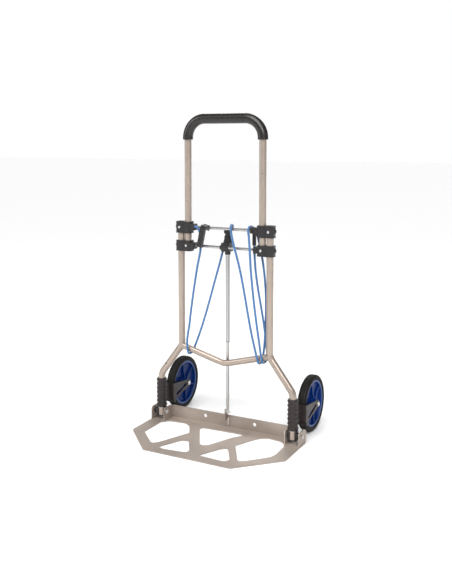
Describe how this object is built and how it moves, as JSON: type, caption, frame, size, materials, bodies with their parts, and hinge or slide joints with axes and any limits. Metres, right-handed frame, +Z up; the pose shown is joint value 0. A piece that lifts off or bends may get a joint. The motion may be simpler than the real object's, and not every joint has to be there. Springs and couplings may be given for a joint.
{
  "type": "folding hand truck",
  "caption": "Folding hand truck: telescopic tube frame with a locking handle, fold-up toe plate, fold-in wheels and an elastic lashing cord.",
  "frame": {"origin": "on the floor plane, under the middle of the toe plate's hinge line, on the underside of the toe plate", "axes": "+Z up along the frame, -Y towards the load side, where the toe plate reaches out, +X to the right seen from the load side"},
  "size_m": [0.5406, 0.48, 1.016],
  "materials": {
    "frame_paint": "satin metallic champagne lacquer",
    "plate_paint": "satin metallic lacquer on embossed sheet",
    "chrome": "bright plating",
    "zinc": "bright zinc plating",
    "black_plastic": "fine moulded texture",
    "grip_foam": "soft satin grip",
    "tyre_rubber": "matt rubber",
    "rim_plastic": "glossy moulded plastic",
    "bush_plastic": "natural nylon",
    "cord_sheath": "braided elastic cord"
  },
  "bodies": {
    "frame": {"side_tube_left": "frame_paint", "side_tube_right": "frame_paint", "v_crossbar": "frame_paint", "upper_bracket_left": "black_plastic", "upper_bracket_right": "black_plastic", "upper_bracket_rivets": "zinc", "upper_crossbar": "chrome", "upper_crossbar_caps": "black_plastic", "hinge_cup_left": "black_plastic", "hinge_cup_right": "black_plastic", "hinge_bolt_left": "zinc", "hinge_bolt_right": "zinc", "hinge_nuts": "zinc", "fork_stop_rings": "zinc", "bungee_cord": "cord_sheath", "cord_hook_left": "black_plastic", "cord_hook_right": "black_plastic"},
    "handle": {"handle_tube": "frame_paint", "handle_grip": "grip_foam", "lower_bracket_left": "black_plastic", "lower_bracket_right": "black_plastic", "lower_bracket_rivets": "zinc", "lower_crossbar_left": "chrome", "lower_crossbar_right": "chrome", "lower_crossbar_caps": "black_plastic", "lock_housing": "black_plastic", "lock_cover": "black_plastic", "lock_screws": "zinc", "outer_rod": "chrome", "rod_bush": "bush_plastic", "trigger_spring": "zinc"},
    "trigger": {"release_trigger": "black_plastic"},
    "lock_pin_left": {"lock_pin_left": "zinc"},
    "lock_pin_right": {"lock_pin_right": "zinc"},
    "toe": {"toe_plate": "plate_paint", "rod_bracket": "zinc", "rod_bracket_rivets": "zinc"},
    "push_rod": {"inner_rod": "chrome", "rod_eye": "zinc", "rod_pivot_screw": "zinc"},
    "fork_left": {"wheel_fork_left": "black_plastic", "axle_left": "zinc", "axle_nuts_left": "zinc"},
    "fork_right": {"wheel_fork_right": "black_plastic", "axle_right": "zinc", "axle_nuts_right": "zinc"},
    "wheel_left": {"tyre_left": "tyre_rubber", "rim_left": "rim_plastic", "hub_bush_left": "bush_plastic"},
    "wheel_right": {"tyre_right": "tyre_rubber", "rim_right": "rim_plastic", "hub_bush_right": "bush_plastic"}
  },
  "joints": [
    {"name": "handle_slide", "type": "slide", "parent": "frame", "child": "handle", "axis": [0, 0, 1], "range_m": [-0.215, 0]},
    {"name": "trigger_press", "type": "slide", "parent": "handle", "child": "trigger", "axis": [0, 0, 1], "range_m": [-0.006, 0], "stiffness_N_per_m": 900, "springref_m": 0.002, "deforming": ["trigger_spring"]},
    {"name": "lock_pin_left_slide", "type": "slide", "parent": "handle", "child": "lock_pin_left", "axis": [1, 0, 0], "range_m": [0, 0.006]},
    {"name": "lock_pin_right_slide", "type": "slide", "parent": "handle", "child": "lock_pin_right", "axis": [-1, 0, 0], "range_m": [0, 0.006]},
    {"name": "toe_fold", "type": "hinge", "parent": "frame", "child": "toe", "pos_m": [0, 0, 0.03], "axis": [-1, 0, 0], "range_deg": [0, 90]},
    {"name": "push_rod_slide", "type": "slide", "parent": "frame", "child": "push_rod", "axis": [0, 0, -1], "range_m": [0, 0.05]},
    {"name": "fork_left_swivel", "type": "hinge", "parent": "frame", "child": "fork_left", "pos_m": [-0.237, 0, 0.09], "axis": [0, 0, -1], "range_deg": [0, 90]},
    {"name": "fork_right_swivel", "type": "hinge", "parent": "frame", "child": "fork_right", "pos_m": [0.237, 0, 0.09], "axis": [0, 0, 1], "range_deg": [0, 90]},
    {"name": "wheel_left_spin", "type": "hinge", "parent": "fork_left", "child": "wheel_left", "pos_m": [-0.24, 0.14, 0.09], "axis": [1, 0, 0], "continuous": true},
    {"name": "wheel_right_spin", "type": "hinge", "parent": "fork_right", "child": "wheel_right", "pos_m": [0.24, 0.14, 0.09], "axis": [1, 0, 0], "continuous": true}
  ],
  "couplings": [
    {"joint": "lock_pin_left_slide", "follows": "trigger_press", "ratio": -1},
    {"joint": "lock_pin_right_slide", "follows": "trigger_press", "ratio": -1},
    {"joint": "push_rod_slide", "follows": "toe_fold", "m_per_rad": 0.0318},
    {"joint": "fork_left_swivel", "follows": "toe_fold", "ratio": 1},
    {"joint": "fork_right_swivel", "follows": "toe_fold", "ratio": 1}
  ]
}
